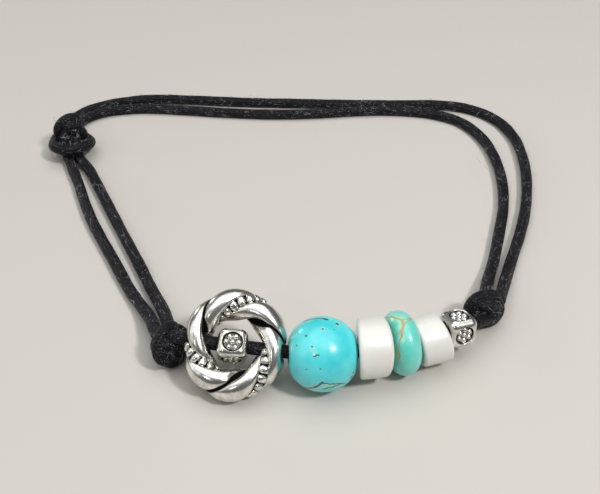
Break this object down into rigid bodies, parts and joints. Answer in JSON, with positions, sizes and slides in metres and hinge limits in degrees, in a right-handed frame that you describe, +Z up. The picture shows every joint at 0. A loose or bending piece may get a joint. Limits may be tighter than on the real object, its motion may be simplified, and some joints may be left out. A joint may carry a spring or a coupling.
{
  "type": "beaded thread anklet",
  "caption": "Anklet of doubled black waxed cord with a short bead row between two knots, round a twisted silver ring with a dotted cube in its window; closed by a knot through a loop.",
  "frame": {"origin": "centre of the bounding box in plan, on the table that the anklet lies on", "axes": "+Z up from the table, -Y from the closure's side of the loop towards the bead row, +X along the row from the silver ring to the small cube bead"},
  "size_m": [0.0863, 0.0783, 0.0108],
  "materials": {
    "antique_silver": "cast zinc alloy plated antique silver: polished high spots, dark oxide in the grooves",
    "blue_turquoise": "polished, with brown veins and small dark specks",
    "green_turquoise": "polished, with one brown vein",
    "white_stone": "polished, with worn edges",
    "black_waxed_cord": "waxed cotton with fine grey fibres"
  },
  "bodies": {
    "root": {"wreath_frame": "antique_silver", "cube_bead_in_frame": "antique_silver", "cube_bead_end": "antique_silver", "barrel_bead": "blue_turquoise", "rondelle_bead": "green_turquoise", "white_bead_large": "white_stone", "white_bead_small": "white_stone", "bead_cord": "black_waxed_cord", "knot_left": "black_waxed_cord", "knot_right": "black_waxed_cord", "closure_knot": "black_waxed_cord", "strand_outer": "black_waxed_cord", "strand_inner": "black_waxed_cord", "loop_cord": "black_waxed_cord"}
  },
  "joints": []
}
